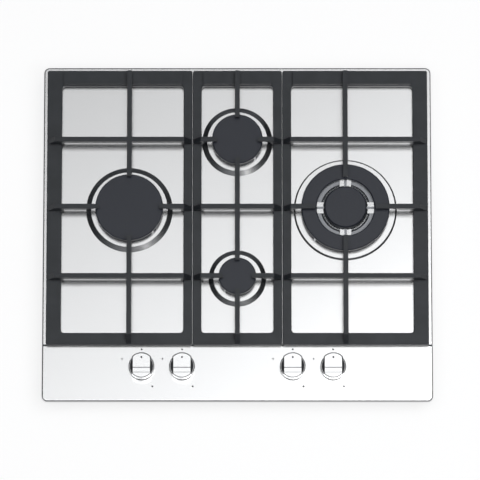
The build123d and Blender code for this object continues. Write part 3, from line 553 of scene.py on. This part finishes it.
def studioFloor():
    mesh = bpy.data.meshes.new("studioFloor")
    build = bmesh.new()
    bmesh.ops.create_grid(build, x_segments=1, y_segments=1, size=studio["floorReach"])
    build.to_mesh(mesh)
    build.free()
    floor = bpy.data.objects.new("studioFloor", mesh)
    bpy.context.scene.collection.objects.link(floor)
    floor.location.z = -studio["floorUnder"]
    material, tree = startMaterial("whitePaperFloor")
    fibre = noiseValue(tree, objectPattern(tree, (1, 1, 1)), studio["fibrePerMetre"])
    paper = addNode(tree, "ShaderNodeBsdfPrincipled", {
        "Base Color": rampBetween(tree, fibre, studio["paper"]), "Roughness": 0.9})
    path = addNode(tree, "ShaderNodeLightPath")
    # metal shows the white floor too, at part of its strength
    mirrored = calculate(tree, "MAXIMUM", path.outputs["Is Glossy Ray"], path.outputs["Is Transmission Ray"])
    share = calculate(tree, "MULTIPLY", mirrored, studio["mirroredShare"])
    shown = calculate(tree, "MAXIMUM", path.outputs["Is Camera Ray"], share)
    glow = calculate(tree, "MULTIPLY", shown, studio["floorGlow"])
    light = addNode(tree, "ShaderNodeEmission", {"Color": (1, 1, 1, 1), "Strength": glow})
    both = addNode(tree, "ShaderNodeAddShader", {0: paper.outputs[0], 1: light.outputs[0]})
    addNode(tree, "ShaderNodeOutputMaterial", {"Surface": both.outputs[0]})
    mesh.materials.append(material)


def studioSky():
    # a pale horizon, a darker band half way up that draws the edges of the metal, and a bright tent overhead
    world = bpy.data.worlds.new("studioSky")
    world.use_nodes = True
    tree = world.node_tree
    tree.nodes.clear()
    place = addNode(tree, "ShaderNodeTexCoord")
    apart = addNode(tree, "ShaderNodeSeparateXYZ", {"Vector": place.outputs["Generated"]})
    ramp = addNode(tree, "ShaderNodeValToRGB", {"Fac": apart.outputs["Z"]})
    levels = studio["sky"]
    while len(ramp.color_ramp.elements) < len(levels):
        ramp.color_ramp.elements.new(0.5)
    for element, (height, tone) in zip(ramp.color_ramp.elements, levels):
        element.position = height
        element.color = hexColour(tone)
    # the dark band is darkest at the left and right
    sideways = calculate(tree, "ABSOLUTE", apart.outputs["X"])
    fade = rangeValue(tree, sideways, (1.0, studio["sideTone"]), *studio["sideFrom"])
    band = rangeValue(tree, apart.outputs["Z"], (0.0, 1.0), *studio["bandRise"])
    dim = blendValues(tree, band, 1.0, fade)
    # the tent is brightest towards the front right and falls off evenly to the rear left
    lean = addNode(tree, "ShaderNodeVectorMath", {0: place.outputs["Generated"], 1: studio["tentLean"]},
                   operation="DOT_PRODUCT").outputs["Value"]
    rise = rangeValue(tree, lean, studio["tentTones"], *studio["tentSpan"])
    fall = rangeValue(tree, lean, (1.0, studio["pastTent"]), *studio["tentEnd"])
    tent = calculate(tree, "MULTIPLY", rise, fall)
    overhead = rangeValue(tree, apart.outputs["Z"], (0.0, 1.0), *studio["tentRise"])
    lit = calculate(tree, "MULTIPLY", dim, blendValues(tree, overhead, 1.0, tent))
    strength = calculate(tree, "MULTIPLY", lit, studio["skyStrength"])
    sky = addNode(tree, "ShaderNodeBackground", {"Color": ramp.outputs["Color"], "Strength": strength})
    addNode(tree, "ShaderNodeOutputWorld", {"Surface": sky.outputs[0]})
    bpy.context.scene.world = world


# place, aim and side in metres, and the brightness that its reflection shows
frontRightBox = dict(place=(0.5, -0.45, 2.0), aim=(0.0, 0.0, 0.05), side=1.0, shows=1.6)


def softLight():
    lamp = bpy.data.lights.new("frontRightBox", "AREA")
    lamp.shape = "SQUARE"
    lamp.size = frontRightBox["side"]
    lamp.energy = frontRightBox["shows"] * pi * frontRightBox["side"] ** 2
    holder = bpy.data.objects.new("frontRightBox", lamp)
    bpy.context.scene.collection.objects.link(holder)
    holder.location = frontRightBox["place"]
    toAim = Vector(frontRightBox["aim"]) - Vector(frontRightBox["place"])
    holder.rotation_euler = toAim.to_track_quat("-Z", "Y").to_euler()


studioFloor()
studioSky()
softLight()

# the frame is square; the panel's middle lies a little left of and above its middle
photoCamera = dict(elevation=77.2, distance=8.0, frameWidth=0.7155, aim=(0.0, 0.0, 0.052), shift=(0.0055, -0.0138),
                   sensor=36.0, clipEnd=50.0)


def addCamera():
    data = bpy.data.cameras.new("photoCamera")
    data.sensor_width = photoCamera["sensor"]
    data.lens = photoCamera["sensor"] * photoCamera["distance"] / photoCamera["frameWidth"]
    data.shift_x, data.shift_y = photoCamera["shift"]
    data.clip_end = photoCamera["clipEnd"]
    camera = bpy.data.objects.new("photoCamera", data)
    bpy.context.scene.collection.objects.link(camera)
    tilt = radians(photoCamera["elevation"])
    back = Vector((0, -cos(tilt), sin(tilt)))
    camera.location = Vector(photoCamera["aim"]) + back * photoCamera["distance"]
    camera.rotation_euler = (-back).to_track_quat("-Z", "Y").to_euler()
    bpy.context.scene.camera = camera


addCamera()
bpy.context.scene.view_settings.view_transform = "Standard"
print("stage, light and camera ready")

bpy.context.view_layer.update()
